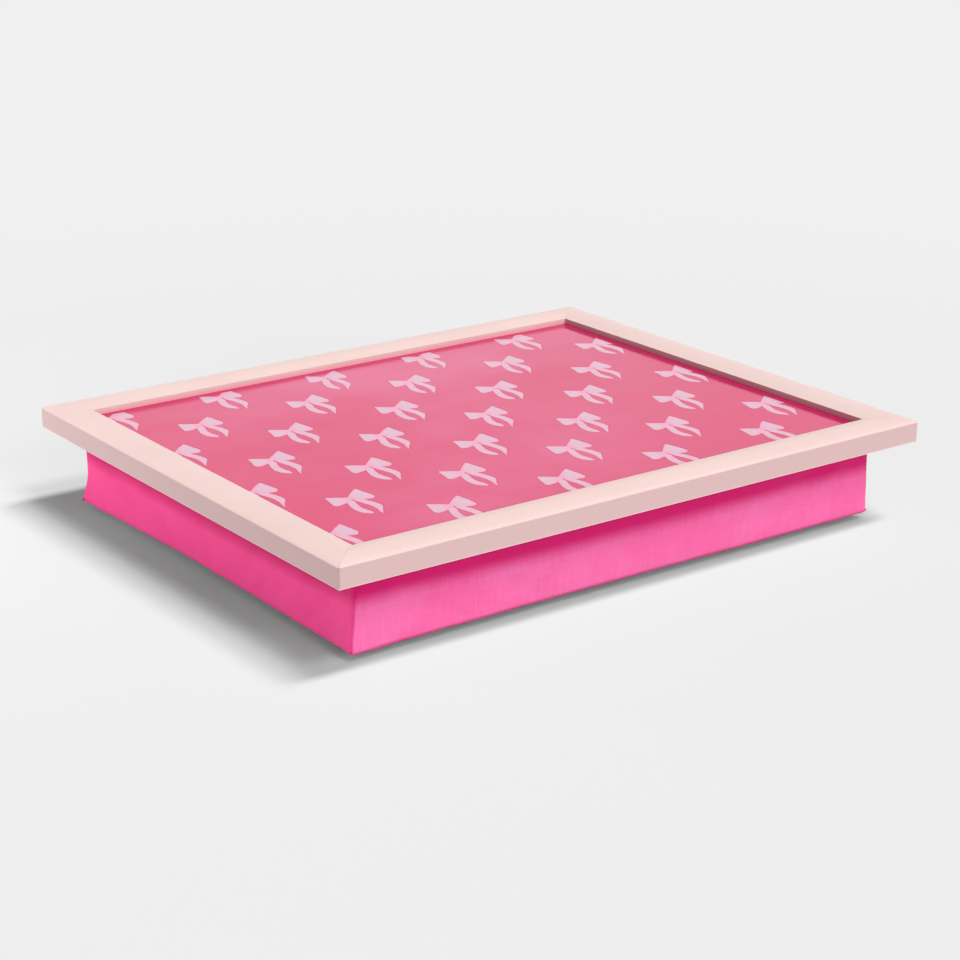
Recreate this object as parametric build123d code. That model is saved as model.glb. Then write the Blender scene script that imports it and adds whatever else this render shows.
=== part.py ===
from build123d import *
import math
import os

# Lap tray with cushion. A mitred wooden frame holds a printed board in its rebate,
# and a sewn cover with a bag of beads inside is stapled under the board.
# X runs along the long side, Y from front to back and Z up.
# The origin is on the surface that the cushion rests on, under the tray's centre.
# All sizes are in millimetres.

# Whole tray
tray_length = 440
tray_width = 360
cushion_height = 54.7

# Frame moulding, from its outer face inwards and from its outer top edge upwards
rail_width = 25
rail_side_height = 12.8
shoulder_width = 3
shoulder_rise = 1.6
crown_top_inset = 11.8
crown_rise = 3
inner_roll_inset = 19.5
inner_roll_rise = 1.9
inner_edge_rise = 0.5
lip_height = 3.8
lip_width = 5.5
underside_break = 0.5
corner_radius = 1.5

# Board and printed sheet
board_thickness = 5
print_thickness = 0.6
board_clearance = 0.25

# V nails across the mitres
v_nail_wing = 5
v_nail_height = 7
v_nail_thickness = 0.5
v_nail_outer_inset = 6
v_nail_spacing = 6.5

# Framer's points that hold the board up
point_width = 7
point_tip = 2.5
point_buried = 6
point_overhang = 5
point_thickness = 0.5
point_long_side_shares = (-0.36, -0.12, 0.12, 0.36)
point_short_side_shares = (-0.3, 0, 0.3)

# Cushion cover
fabric_thickness = 1
cover_gap = 1.5
hem_width = 14
hem_bow = 0.5
top_corner_radius = 10
middle_corner_radius = 7
middle_height_share = 0.5
wall_bulge = 2
seam_height = 5
seam_flare = 1.2
seam_draw = 1.6
seam_corner_radius = 2.2

# Crowned base of the cover, cut flat where it rests
roll_width = 9
roll_height_share = 0.4
roll_corner_radius = 10
roll_bow = 0.8
contact_inset = 38
contact_corner_radius = 34
contact_bow = 3
flat_depth = 0.5

# Staples through the hem into the board
staple_inset = 8
staple_crown = 10
staple_leg = 4.5
staple_wire = 0.6
staple_long_side_shares = (-0.4, -0.3, -0.2, -0.07, 0.07, 0.2, 0.3, 0.4)
staple_short_side_shares = (-0.37, -0.22, -0.08, 0.08, 0.22, 0.37)

# Bead bag and filling
bag_clearance = 0.5
bag_thickness = 0.4
bag_corner_radius = 12
filling_clearance = 0.3

# Every cut runs this far past the face that it opens
overrun = 2

# Levels
frame_bottom = cushion_height
arris_level = frame_bottom + rail_side_height
lip_underside = arris_level + inner_edge_rise - lip_height
board_top = lip_underside - print_thickness
board_bottom = board_top - board_thickness
hem_bottom = board_bottom - fabric_thickness
overall_height = arris_level + crown_rise

# Insets from the frame's outer face
rebate_inset = rail_width - lip_width
board_inset = rebate_inset + board_clearance
cover_inset = rebate_inset + cover_gap
seam_inset = cover_inset - seam_flare

half_length = tray_length / 2
half_width = tray_width / 2


def side_wedge(side):
    """The space that belongs to one side, out to the 45 degree planes through the tray's corners."""
    long_end = half_length - half_width
    if side in ("front", "back"):
        outline = Polyline(
            (-half_length, -half_width),
            (half_length, -half_width),
            (long_end, 0),
            (-long_end, 0),
            close=True,
        )
    else:
        outline = Polyline(
            (-half_length, -half_width),
            (-long_end, 0),
            (-half_length, half_width),
            close=True,
        )
    wedge = extrude(make_face(outline), overall_height + overrun)
    if side in ("back", "right"):
        return Rot(Z=180) * wedge
    return wedge


def side_place(side):
    """The middle of one side's outer face, with X along the side and Y pointing into the tray."""
    places = {
        "front": Pos(0, -half_width),
        "back": Pos(0, half_width) * Rot(Z=180),
        "left": Pos(-half_length, 0) * Rot(Z=-90),
        "right": Pos(half_length, 0) * Rot(Z=90),
    }
    return places[side]


def side_length(side):
    if side in ("front", "back"):
        return tray_length
    return tray_width


def moulding_section():
    """The moulding's section: Y is the inset from its outer face, Z the height above its underside."""
    inner_edge = rail_side_height + inner_edge_rise
    shoulder = (shoulder_width, rail_side_height + shoulder_rise)
    roll = (inner_roll_inset, rail_side_height + inner_roll_rise)
    crown = ThreePointArc(shoulder, (crown_top_inset, rail_side_height + crown_rise), roll)
    outer_round = TangentArc(shoulder, (0, rail_side_height), tangent=-(crown % 0))
    inner_round = TangentArc(roll, (rail_width, inner_edge), tangent=crown % 1)
    rest = Polyline(
        (rail_width, inner_edge),
        (rail_width, inner_edge - lip_height),
        (rebate_inset, inner_edge - lip_height),
        (rebate_inset, 0),
        (underside_break, 0),
        (0, underside_break),
        (0, rail_side_height),
    )
    return make_face([crown, outer_round, inner_round, rest])


def frame_rail(side):
    """One rail: the moulding run past both corners, cut to its mitres and rounded at the outer corners."""
    run = side_length(side) + 2 * overrun
    section = Plane.YZ * moulding_section()
    rail = side_place(side) * Pos(0, 0, frame_bottom) * extrude(section, run / 2, both=True)
    sanded = extrude(RectangleRounded(tray_length, tray_width, corner_radius), overall_height + overrun)
    return rail & side_wedge(side) & sanded


def v_nail(corner_x, corner_y, turn, inset):
    """A V nail with its bend on the mitre and a wing in each rail, flush with the underside."""
    half_bend = v_nail_thickness / 2
    outline = Polyline(
        (-half_bend, -half_bend),
        (v_nail_wing, -half_bend),
        (v_nail_wing, half_bend),
        (half_bend, half_bend),
        (half_bend, v_nail_wing),
        (-half_bend, v_nail_wing),
        close=True,
    )
    place = Pos(corner_x * (half_length - inset), corner_y * (half_width - inset), frame_bottom)
    return place * Rot(Z=turn) * extrude(make_face(outline), v_nail_height)


def corner_v_nails():
    """Two V nails at each corner, as (which end of X, which end of Y, turn in degrees)."""
    insets = (v_nail_outer_inset, v_nail_outer_inset + v_nail_spacing)
    corners = ((-1, -1, 0), (1, -1, 90), (1, 1, 180), (-1, 1, 270))
    return [v_nail(*corner, inset) for corner in corners for inset in insets]


def board_point(side, share):
    """A flat steel point driven into the rebate wall, with its free end under the board."""
    half = point_width / 2
    tip = rebate_inset - point_buried
    outline = Polyline(
        (0, tip),
        (half, tip + point_tip),
        (half, rebate_inset + point_overhang),
        (-half, rebate_inset + point_overhang),
        (-half, tip + point_tip),
        close=True,
    )
    point = extrude(make_face(outline), point_thickness)
    place = Pos(share * side_length(side), 0, board_bottom - point_thickness)
    return side_place(side) * place * point


def cover_staple(side, share):
    """A staple with its crown under the hem and its two legs up in the board."""
    leg = Box(staple_wire, staple_wire, staple_leg, align=(Align.CENTER, Align.CENTER, Align.MIN))
    crown = Box(staple_crown, staple_wire, staple_wire, align=(Align.CENTER, Align.CENTER, Align.MAX))
    leg_place = (staple_crown - staple_wire) / 2
    staple = crown + Pos(leg_place, 0) * leg + Pos(-leg_place, 0) * leg
    place = Pos(share * side_length(side), cover_inset + staple_inset, hem_bottom)
    return side_place(side) * place * staple


def along_sides(maker, long_side_shares, short_side_shares):
    """One fastener at each share of each side's length."""
    made = [maker(side, share) for side in ("front", "back") for share in long_side_shares]
    return made + [maker(side, share) for side in ("left", "right") for share in short_side_shares]


def cushion_section(level, inset, radius, bow):
    """A level outline of the cushion: bowed sides between rounded corners.

    A negative bow draws the sides in.
    """
    x = half_length - inset
    y = half_width - inset
    middle = radius * (1 - math.cos(math.radians(45)))
    right = [
        ThreePointArc((x - radius, -y), (x - middle, middle - y), (x, radius - y)),
        ThreePointArc((x, radius - y), (x + bow, 0), (x, y - radius)),
        ThreePointArc((x, y - radius), (x - middle, y - middle), (x - radius, y)),
    ]
    left = [
        ThreePointArc((radius - x, y), (middle - x, y - middle), (-x, y - radius)),
        ThreePointArc((-x, y - radius), (-x - bow, 0), (-x, radius - y)),
        ThreePointArc((-x, radius - y), (middle - x, middle - y), (radius - x, -y)),
    ]
    back = ThreePointArc((x - radius, y), (0, y + bow), (radius - x, y))
    front = ThreePointArc((radius - x, -y), (0, -y - bow), (x - radius, -y))
    return Pos(0, 0, level) * make_face(right + [back] + left + [front])


def wall_form(inward, top_radius, middle_radius, low_radius):
    """The space within the cushion's walls, a given way inside their outer face, up to the board."""
    middle_level = seam_height + (board_bottom - seam_height) * middle_height_share
    return loft(
        [
            cushion_section(seam_height, seam_inset + inward, low_radius, -seam_draw),
            cushion_section(middle_level, cover_inset + inward, middle_radius, wall_bulge),
            cushion_section(board_bottom, cover_inset + inward, top_radius, hem_bow),
        ]
    )


def base_form(inward, low_radius):
    """The space over the crowned base, up to the seam and cut flat where the cushion rests."""
    roll_level = seam_height * roll_height_share
    contact = (seam_inset + contact_inset, contact_corner_radius, contact_bow)
    roll = (seam_inset + roll_width + inward, roll_corner_radius, -roll_bow)
    crown = loft(
        [
            cushion_section(inward - flat_depth, *contact),
            cushion_section(roll_level + inward, *roll),
            cushion_section(seam_height, seam_inset + inward, low_radius, -seam_draw),
        ]
    )
    return crown & slab(inward, seam_height)


def slab(low, high):
    """All the space of the tray between two levels."""
    return Pos(0, 0, low) * extrude(Rectangle(tray_length, tray_width), high - low)


def cover_radii(inward):
    """The corner radii at the hem, in the middle and at the seam, a given way inside the outer face."""
    return top_corner_radius - inward, middle_corner_radius - inward, seam_corner_radius - inward


def cover_ring():
    """All four walls in one, with the hem turned in under the board."""
    outside = wall_form(0, *cover_radii(0))
    inside = wall_form(fabric_thickness, *cover_radii(fabric_thickness)) & slab(seam_height, hem_bottom)
    opening_inset = cover_inset + hem_width
    opening = RectangleRounded(
        tray_length - 2 * opening_inset, tray_width - 2 * opening_inset, top_corner_radius
    )
    mouth = Pos(0, 0, hem_bottom - overrun) * extrude(opening, fabric_thickness + 2 * overrun)
    return outside - inside - mouth


def cover_base():
    """The bottom panel, from the seam round the walls to the flat that it rests on."""
    return base_form(0, cover_radii(0)[-1]) - base_form(fabric_thickness, cover_radii(fabric_thickness)[-1])


def bag_outline(level, inset):
    """A level outline of the bag: straight sides between rounded corners."""
    return Pos(0, 0, level) * RectangleRounded(
        tray_length - 2 * inset, tray_width - 2 * inset, bag_corner_radius
    )


def bag_space(inward):
    """The room that the filled bag takes, a given way inside its own face, from the base to the staples."""
    inset = seam_inset + seam_draw + fabric_thickness + bag_clearance + inward
    floor_level = fabric_thickness + bag_clearance + inward
    side_level = floor_level + seam_height
    top_level = hem_bottom - staple_wire - bag_clearance - inward
    low = bag_outline(floor_level, inset + contact_inset)
    side = bag_outline(side_level, inset)
    return loft([low, side], ruled=True) + extrude(side, top_level - side_level)


def export(name, shape):
    shape.label = name
    export_step(shape, f"parts/{name}.step")
    print(name, round(shape.volume))


def group(solids):
    return Compound(children=solids)


os.makedirs("parts", exist_ok=True)

v_nails = corner_v_nails()
points = along_sides(board_point, point_long_side_shares, point_short_side_shares)
staples = along_sides(cover_staple, staple_long_side_shares, staple_short_side_shares)
walls = cover_ring()

for side in ("front", "back", "left", "right"):
    export(f"frame_rail_{side}", frame_rail(side) - v_nails - points)
    export(f"cover_wall_{side}", (walls & side_wedge(side)) - points - staples)

board_plan = Rectangle(tray_length - 2 * board_inset, tray_width - 2 * board_inset)
export("print_laminate", Pos(0, 0, board_top) * extrude(board_plan, print_thickness))
export("tray_board", Pos(0, 0, board_bottom) * extrude(board_plan, board_thickness) - staples)
export("cover_base", cover_base())
export("bead_bag", bag_space(0) - bag_space(bag_thickness))
export("bead_filling", bag_space(bag_thickness + filling_clearance))
export("corner_v_nails", group(v_nails))
export("board_points", group(points))
export("cover_staples", group(staples))
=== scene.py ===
import math

import bmesh
import bpy
from mathutils import Matrix, Vector, noise


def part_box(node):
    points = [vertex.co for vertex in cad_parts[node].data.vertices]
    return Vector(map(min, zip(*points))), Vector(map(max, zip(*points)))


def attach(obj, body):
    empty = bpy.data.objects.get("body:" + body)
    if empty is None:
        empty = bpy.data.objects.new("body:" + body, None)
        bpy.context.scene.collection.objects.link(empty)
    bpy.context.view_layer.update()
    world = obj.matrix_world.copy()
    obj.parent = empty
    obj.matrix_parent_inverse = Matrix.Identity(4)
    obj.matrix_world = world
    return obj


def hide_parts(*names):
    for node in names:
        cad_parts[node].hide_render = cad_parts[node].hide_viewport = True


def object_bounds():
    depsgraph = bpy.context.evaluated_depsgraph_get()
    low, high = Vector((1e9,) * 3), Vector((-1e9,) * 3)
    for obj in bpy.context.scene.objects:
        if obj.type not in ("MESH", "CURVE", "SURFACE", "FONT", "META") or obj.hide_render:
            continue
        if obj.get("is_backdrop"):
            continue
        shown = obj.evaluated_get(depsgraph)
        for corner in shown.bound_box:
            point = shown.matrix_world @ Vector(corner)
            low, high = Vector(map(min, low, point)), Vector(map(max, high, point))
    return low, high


# A lap tray: a painted, mitred frame round a glossy printed board, on a sewn cushion.
# Lengths are in metres, X along the long side, Z up, and the cushion rests on Z = 0.

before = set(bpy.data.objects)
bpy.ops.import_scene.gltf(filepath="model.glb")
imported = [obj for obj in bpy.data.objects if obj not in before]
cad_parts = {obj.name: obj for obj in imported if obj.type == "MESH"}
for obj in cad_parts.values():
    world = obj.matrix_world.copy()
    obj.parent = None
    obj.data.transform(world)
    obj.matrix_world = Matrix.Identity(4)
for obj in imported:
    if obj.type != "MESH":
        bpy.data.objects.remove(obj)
cad_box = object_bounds()
MM = 0.001
BODY = "root"

# Camera, as the photograph was taken
CAMERA_AZIMUTH = math.radians(-35.929)
CAMERA_ELEVATION = math.radians(18.940)
CAMERA_ROLL = math.radians(-0.0806)
CAMERA_DISTANCE = 1.49196
CAMERA_AIM_RIGHT = 3.2 * MM
CAMERA_AIM_UP = -41.83 * MM
CAMERA_LENS = 86.52
CAMERA_SENSOR = 36.0

# Heights and insets that the solids give
rail_low, rail_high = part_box("frame_rail_front")
HALF_LENGTH = -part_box("frame_rail_left")[0].x
HALF_WIDTH = -rail_low.y
FRAME_BOTTOM = rail_low.z
RAIL_WIDTH = rail_high.y - rail_low.y
CROWN_TOP = rail_high.z
CROWN_RISE = 3.0 * MM
ARRIS_LEVEL = CROWN_TOP - CROWN_RISE
PRINT_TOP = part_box("print_laminate")[1].z


def pigment(red, green, blue):
    """A colour as a paint chart gives it, 0 to 255, as the linear colour that a shader takes."""
    linear = []
    for value in (red, green, blue):
        share = value / 255
        linear.append(share / 12.92 if share <= 0.04045 else ((share + 0.055) / 1.055) ** 2.4)
    return (*linear, 1.0)


# Shader helpers


def place(tree, kind, **settings):
    """Adds one shader node and sets its plain properties."""
    node = tree.nodes.new(kind)
    for name, value in settings.items():
        setattr(node, name, value)
    return node


def feed(tree, socket, value):
    """Sets a socket to a number, a vector or a colour, or links another node's output to it."""
    if isinstance(value, bpy.types.NodeSocket):
        tree.links.new(value, socket)
    else:
        socket.default_value = value


def compute(tree, operation, *values):
    """One sum, product or other operation on shader values and numbers."""
    node = place(tree, "ShaderNodeMath", operation=operation)
    for socket, value in zip(node.inputs, values):
        feed(tree, socket, value)
    return node.outputs[0]


def times(tree, first, second):
    """The product of two shader values or numbers."""
    return compute(tree, "MULTIPLY", first, second)


def parts_of(tree, vector):
    """The X, Y and Z of a vector, each as a shader value."""
    split = place(tree, "ShaderNodeSeparateXYZ")
    tree.links.new(vector, split.inputs[0])
    return split.outputs[:]


def ramp(tree, value, low, high, at_low=0.0, at_high=1.0):
    """Turns value from low to high into a smooth step from at_low to at_high."""
    node = place(tree, "ShaderNodeMapRange", interpolation_type="SMOOTHSTEP")
    for socket, setting in zip(node.inputs, (value, low, high, at_low, at_high)):
        feed(tree, socket, setting)
    return node.outputs[0]


def tint(tree, share, first, second):
    """Mixes two colours by a share."""
    node = place(tree, "ShaderNodeMix", data_type="RGBA")
    feed(tree, node.inputs["Factor"], share)
    feed(tree, node.inputs[6], first)
    feed(tree, node.inputs[7], second)
    return node.outputs[2]


def speckle(tree, vector, scale, detail=2.0, roughness=0.5, stretch=(1.0, 1.0, 1.0)):
    """Noise between 0 and 1, scale in waves per metre."""
    mapping = place(tree, "ShaderNodeMapping")
    feed(tree, mapping.inputs["Vector"], vector)
    mapping.inputs["Scale"].default_value = stretch
    node = place(tree, "ShaderNodeTexNoise")
    tree.links.new(mapping.outputs[0], node.inputs["Vector"])
    feed(tree, node.inputs["Scale"], scale)
    node.inputs["Detail"].default_value = detail
    node.inputs["Roughness"].default_value = roughness
    return node.outputs["Fac"]


def bump(tree, height, distance, strength=1.0, normal=None):
    """The normal of a surface that rises by a height between 0 and 1, times a distance."""
    node = place(tree, "ShaderNodeBump")
    feed(tree, node.inputs["Height"], height)
    node.inputs["Distance"].default_value = distance
    node.inputs["Strength"].default_value = strength
    if normal is not None:
        tree.links.new(normal, node.inputs["Normal"])
    return node.outputs[0]


def new_group(name, inputs, outputs):
    """A shader node group with named inputs, as (name, type, default), and named outputs, as (name, type)."""
    tree = bpy.data.node_groups.new(name, "ShaderNodeTree")
    for label, kind, default in inputs:
        socket = tree.interface.new_socket(label, in_out="INPUT", socket_type=kind)
        if default is not None:
            socket.default_value = default
    for label, kind in outputs:
        tree.interface.new_socket(label, in_out="OUTPUT", socket_type=kind)
    start = place(tree, "NodeGroupInput")
    end = place(tree, "NodeGroupOutput")
    return tree, start.outputs, end.inputs


def use_group(tree, group, **values):
    """Places a node group with its own values, and gives its outputs."""
    node = place(tree, "ShaderNodeGroup", node_tree=group)
    for name, value in values.items():
        feed(tree, node.inputs[name], value)
    return node.outputs


def new_material(name):
    """A material with one Principled BSDF, as (material, tree, object coordinates)."""
    material = bpy.data.materials.new(name)
    material.use_nodes = True
    tree = material.node_tree
    return material, tree, place(tree, "ShaderNodeTexCoord").outputs["Object"]


def finished(material, looks):
    """Sets the shader's own sockets, by name, to numbers, colours or other nodes' outputs."""
    tree = material.node_tree
    for name, value in looks.items():
        feed(tree, tree.nodes["Principled BSDF"].inputs[name], value)
    return material


def dress(piece, material):
    """Gives every face of a piece one material."""
    piece.data.materials.clear()
    piece.data.materials.append(material)


def piece_from(name, shape, smooth=False):
    """Turns a finished bmesh into an object of the scene, and frees it."""
    for face in shape.faces:
        face.smooth = smooth
    data = bpy.data.meshes.new(name)
    shape.to_mesh(data)
    shape.free()
    piece = bpy.data.objects.new(name, data)
    bpy.context.scene.collection.objects.link(piece)
    return piece


# Shared effects


def mottle_group():
    """Slow uneven patches, for tone and roughness that vary over a surface."""
    tree, given, out = new_group(
        "mottle",
        [
            ("Vector", "NodeSocketVector", None),
            ("Scale", "NodeSocketFloat", 30.0),
            ("Low", "NodeSocketFloat", 0.0),
            ("High", "NodeSocketFloat", 1.0),
        ],
        [("Value", "NodeSocketFloat")],
    )
    patches = speckle(tree, given["Vector"], given["Scale"], detail=3.0, roughness=0.55)
    tree.links.new(ramp(tree, patches, 0.3, 0.7, given["Low"], given["High"]), out["Value"])
    return tree


MOTTLE = mottle_group()

# Frame paint

PAINT_TONE = pigment(210, 183, 178)
PAINT_PALE = pigment(213, 187, 182)
PAINT_STROKE = pigment(207, 178, 173)
PAINT_LEVELLING = 1.0
# A deeper, pinker tone on the outer sides of the frame: painted shade.
OUTER_SIDE_SHADE = pigment(205, 173, 172)
OUTER_SHADE_DEPTH = 0.8 * MM
# A pale line along the frame's lower arris: a painted highlight.
ARRIS_PAINTED_HIGHLIGHT = pigment(246, 232, 228)
ARRIS_HIGHLIGHT_HEIGHT = 0.9 * MM
ARRIS_HIGHLIGHT_SHARE = 0.8
# The print's pink, painted low on the rails' inner edge: a painted reflection of the print.
PRINT_REFLECTION_TONE = pigment(250, 24, 140)
PRINT_REFLECTION_WIDTH = 1.2 * MM
PRINT_REFLECTION_HEIGHT = 2.3 * MM
PRINT_REFLECTION_FADE = 1.0 * MM
PRINT_REFLECTION_SHARE = 0.25
JOINT_TONE = pigment(132, 96, 88)
JOINT_HALF_WIDTH = 0.14 * MM
JOINT_OPEN_LENGTH = 3.0 * MM
JOINT_SIDE_DEPTH = 1.2 * MM
JOINT_SIDE_SHARE = 0.25


def rail_places(tree, here):
    """How far a point of the frame is in from the ends and from the sides of the tray, and its height."""
    x, y, height = parts_of(tree, here)
    from_end = compute(tree, "SUBTRACT", HALF_LENGTH, compute(tree, "ABSOLUTE", x))
    from_side = compute(tree, "SUBTRACT", HALF_WIDTH, compute(tree, "ABSOLUTE", y))
    return from_end, from_side, height


def mitre_line(tree, here):
    """A hairline where two rails meet, open at the outer corner and elsewhere filled with paint in places."""
    from_end, from_side, height = rail_places(tree, here)
    off_joint = compute(tree, "ABSOLUTE", compute(tree, "SUBTRACT", from_end, from_side))
    line = ramp(tree, off_joint, JOINT_HALF_WIDTH * 0.5, JOINT_HALF_WIDTH * 1.5, 1.0, 0.0)
    broken = ramp(tree, speckle(tree, here, 70.0, detail=1.0), 0.4, 0.6, 0.15, 0.7)
    opened = ramp(tree, from_end, JOINT_OPEN_LENGTH / 2, JOINT_OPEN_LENGTH, 1.0, 0.0)
    side_low, side_high = ARRIS_LEVEL - JOINT_SIDE_DEPTH, ARRIS_LEVEL - JOINT_SIDE_DEPTH / 6
    on_top = ramp(tree, height, side_low, side_high, JOINT_SIDE_SHARE, 1.0)
    shown = times(tree, compute(tree, "MAXIMUM", broken, opened), on_top)
    return times(tree, line, shown)


def edge_light_and_shade(tree, here):
    """A painted highlight along the lower arris, the print's pink painted low on the inner edge as its
    reflection, and painted shade on the outer side.
    """
    from_end, from_side, height = rail_places(tree, here)
    inset = compute(tree, "MINIMUM", from_end, from_side)
    lower_arris_highlight = ramp(tree, height, FRAME_BOTTOM + ARRIS_HIGHLIGHT_HEIGHT / 3, FRAME_BOTTOM + ARRIS_HIGHLIGHT_HEIGHT, 1.0, 0.0)
    inner = ramp(tree, inset, RAIL_WIDTH - PRINT_REFLECTION_WIDTH, RAIL_WIDTH - PRINT_REFLECTION_WIDTH / 3)
    reflection_top = PRINT_TOP + PRINT_REFLECTION_HEIGHT
    low = ramp(tree, height, reflection_top - PRINT_REFLECTION_FADE, reflection_top, 1.0, 0.0)
    outer = ramp(tree, inset, OUTER_SHADE_DEPTH / 8, OUTER_SHADE_DEPTH, 1.0, 0.0)
    return lower_arris_highlight, times(tree, inner, low), outer


def levelled(tree):
    """The surface's normal, turned a little upwards on the crown, where thick paint has levelled itself."""
    normal = place(tree, "ShaderNodeNewGeometry").outputs["Normal"]
    upwards = parts_of(tree, normal)[2]
    lift = place(tree, "ShaderNodeCombineXYZ")
    tree.links.new(ramp(tree, upwards, 0.75, 0.95, 0.0, PAINT_LEVELLING), lift.inputs["Z"])
    turned = place(tree, "ShaderNodeVectorMath", operation="ADD")
    tree.links.new(normal, turned.inputs[0])
    tree.links.new(lift.outputs[0], turned.inputs[1])
    even = place(tree, "ShaderNodeVectorMath", operation="NORMALIZE")
    tree.links.new(turned.outputs[0], even.inputs[0])
    return even.outputs[0]


def painted_wood(name, along_x):
    """Satin paint on wood, with faint brush lines that run along the rail, and a hairline at each mitre."""
    material, tree, here = new_material(name)
    stretch = (0.06, 1.0, 1.0) if along_x else (1.0, 0.06, 1.0)
    strokes = speckle(tree, here, 900.0, detail=4.0, roughness=0.6, stretch=stretch)
    orange_peel = speckle(tree, here, 1400.0, detail=1.0)
    cloud = use_group(tree, MOTTLE, Vector=here, Scale=14.0)["Value"]
    tone = tint(tree, cloud, PAINT_TONE, PAINT_PALE)
    tone = tint(tree, ramp(tree, strokes, 0.35, 0.75, 0.0, 0.25), tone, PAINT_STROKE)
    lower_arris_highlight, print_reflection, outer = edge_light_and_shade(tree, here)
    # Painted shade on the outer sides.
    tone = tint(tree, outer, tone, OUTER_SIDE_SHADE)
    tone = tint(tree, mitre_line(tree, here), tone, JOINT_TONE)
    # Painted highlight along the lower arris.
    tone = tint(tree, times(tree, lower_arris_highlight, ARRIS_HIGHLIGHT_SHARE), tone, ARRIS_PAINTED_HIGHLIGHT)
    # Painted reflection of the print, low on the inner edge.
    tone = tint(tree, times(tree, print_reflection, PRINT_REFLECTION_SHARE), tone, PRINT_REFLECTION_TONE)
    relief = compute(tree, "MULTIPLY_ADD", strokes, 0.7, times(tree, orange_peel, 0.3))
    looks = {
        "Base Color": tone,
        "Roughness": ramp(tree, strokes, 0.3, 0.7, 0.42, 0.52),
        "Specular IOR Level": 0.3,
        "Normal": bump(tree, relief, 0.05 * MM, 0.35, levelled(tree)),
    }
    return finished(material, looks)


# Steel of the fasteners, and fibreboard

STEEL_DARK = pigment(176, 178, 180)
STEEL_PALE = pigment(206, 206, 204)
FIBRE_DARK = pigment(122, 92, 64)
FIBRE_PALE = pigment(164, 130, 96)
FIBRE_PATCH = pigment(146, 112, 80)


def plain_metal():
    """Bright steel wire and sheet, with fine draw lines."""
    material, tree, here = new_material("zinc_plated_steel")
    lines = speckle(tree, here, 2500.0, detail=2.0, stretch=(0.2, 1.0, 1.0))
    looks = {
        "Base Color": tint(tree, lines, STEEL_DARK, STEEL_PALE),
        "Metallic": 1.0,
        "Roughness": ramp(tree, lines, 0.3, 0.7, 0.25, 0.42),
    }
    return finished(material, looks)


def fibreboard():
    """Brown pressed fibreboard with flecks of fibre."""
    material, tree, here = new_material("pressed_fibreboard")
    fibres = speckle(tree, here, 700.0, detail=5.0, roughness=0.7, stretch=(1.0, 0.35, 1.0))
    patches = use_group(tree, MOTTLE, Vector=here, Scale=25.0, High=0.5)["Value"]
    tone = tint(tree, ramp(tree, fibres, 0.35, 0.7), FIBRE_DARK, FIBRE_PALE)
    looks = {
        "Base Color": tint(tree, patches, tone, FIBRE_PATCH),
        "Roughness": 0.75,
        "Normal": bump(tree, fibres, 0.1 * MM, 0.5),
    }
    return finished(material, looks)


# Stage, camera and light


def direction(azimuth, elevation):
    """The way from the tray towards a place, azimuth from the front towards the right."""
    level = math.cos(elevation)
    return Vector((math.sin(azimuth) * level, -math.cos(azimuth) * level, math.sin(elevation)))


def set_camera():
    """The camera, from its angles, its distance and the point of the frame that it looks at."""
    back = direction(CAMERA_AZIMUTH, CAMERA_ELEVATION)
    level = Vector((math.cos(CAMERA_AZIMUTH), math.sin(CAMERA_AZIMUTH), 0))
    upright = back.cross(level)
    right = level * math.cos(CAMERA_ROLL) + upright * math.sin(CAMERA_ROLL)
    up = upright * math.cos(CAMERA_ROLL) - level * math.sin(CAMERA_ROLL)
    centre = Vector((0, 0, ARRIS_LEVEL))
    spot = centre + right * CAMERA_AIM_RIGHT + up * CAMERA_AIM_UP + back * CAMERA_DISTANCE
    lens = bpy.data.cameras.new("camera")
    lens.lens = CAMERA_LENS
    lens.sensor_width = CAMERA_SENSOR
    lens.clip_start = 0.05
    camera = bpy.data.objects.new("camera", lens)
    turn = Matrix((right, up, back)).transposed().to_4x4()
    camera.matrix_world = Matrix.Translation(spot) @ turn
    bpy.context.scene.collection.objects.link(camera)
    bpy.context.scene.camera = camera


FLOOR_RADIUS = 1.0
FLOOR_CLEAR_RADIUS = 0.5
STUDIO_TONE = pigment(240, 240, 240)
FLOOR_TONE = pigment(206, 206, 206)
FLOOR_BOUNCE = pigment(192, 192, 192)


def lay_floor():
    """A pale round floor that fades out into the backdrop's tone."""
    disc = bmesh.new()
    bmesh.ops.create_circle(disc, cap_ends=True, segments=96, radius=FLOOR_RADIUS)
    floor = piece_from("floor", disc)
    material, tree, here = new_material("studio_floor")
    bounced = place(tree, "ShaderNodeLightPath").outputs["Is Diffuse Ray"]
    far = place(tree, "ShaderNodeVectorMath", operation="LENGTH")
    tree.links.new(here, far.inputs[0])
    looks = {
        "Base Color": tint(tree, bounced, FLOOR_TONE, FLOOR_BOUNCE),
        "Roughness": 0.9,
        "Specular IOR Level": 0.0,
        "Alpha": ramp(tree, far.outputs["Value"], FLOOR_CLEAR_RADIUS, FLOOR_RADIUS, 1.0, 0.0),
    }
    dress(floor, finished(material, looks))
    floor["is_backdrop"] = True


LAMPS = [
    # name, azimuth from the front towards the right, elevation, softness, strength
    ("key_light_left", 24, 73, 10, 0.81),
    ("key_light_middle", 45, 69, 10, 0.81),
    ("key_light_right", 57, 64, 10, 0.81),
    ("front_light", 3, 57, 14, 0.92),
    ("low_light", 6, 20, 30, 1.28),
]
AMBIENT_STRENGTH = 0.31
# A lamp lower than this shows in no reflection, so that its glare doesn't hide the print.
GLARE_ELEVATION = 30
CARDS = [
    # name, place, aim, width, height, power
    ("left_card", (-1.55, 0.8, 0.03), (-0.2, 0.0, 0.03), 0.8, 0.055, 11.0),
    ("corner_card", (-0.46, 0.36, 0.12), (-0.23, 0.1, 0.0), 0.12, 0.12, 0.26),
]


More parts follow.
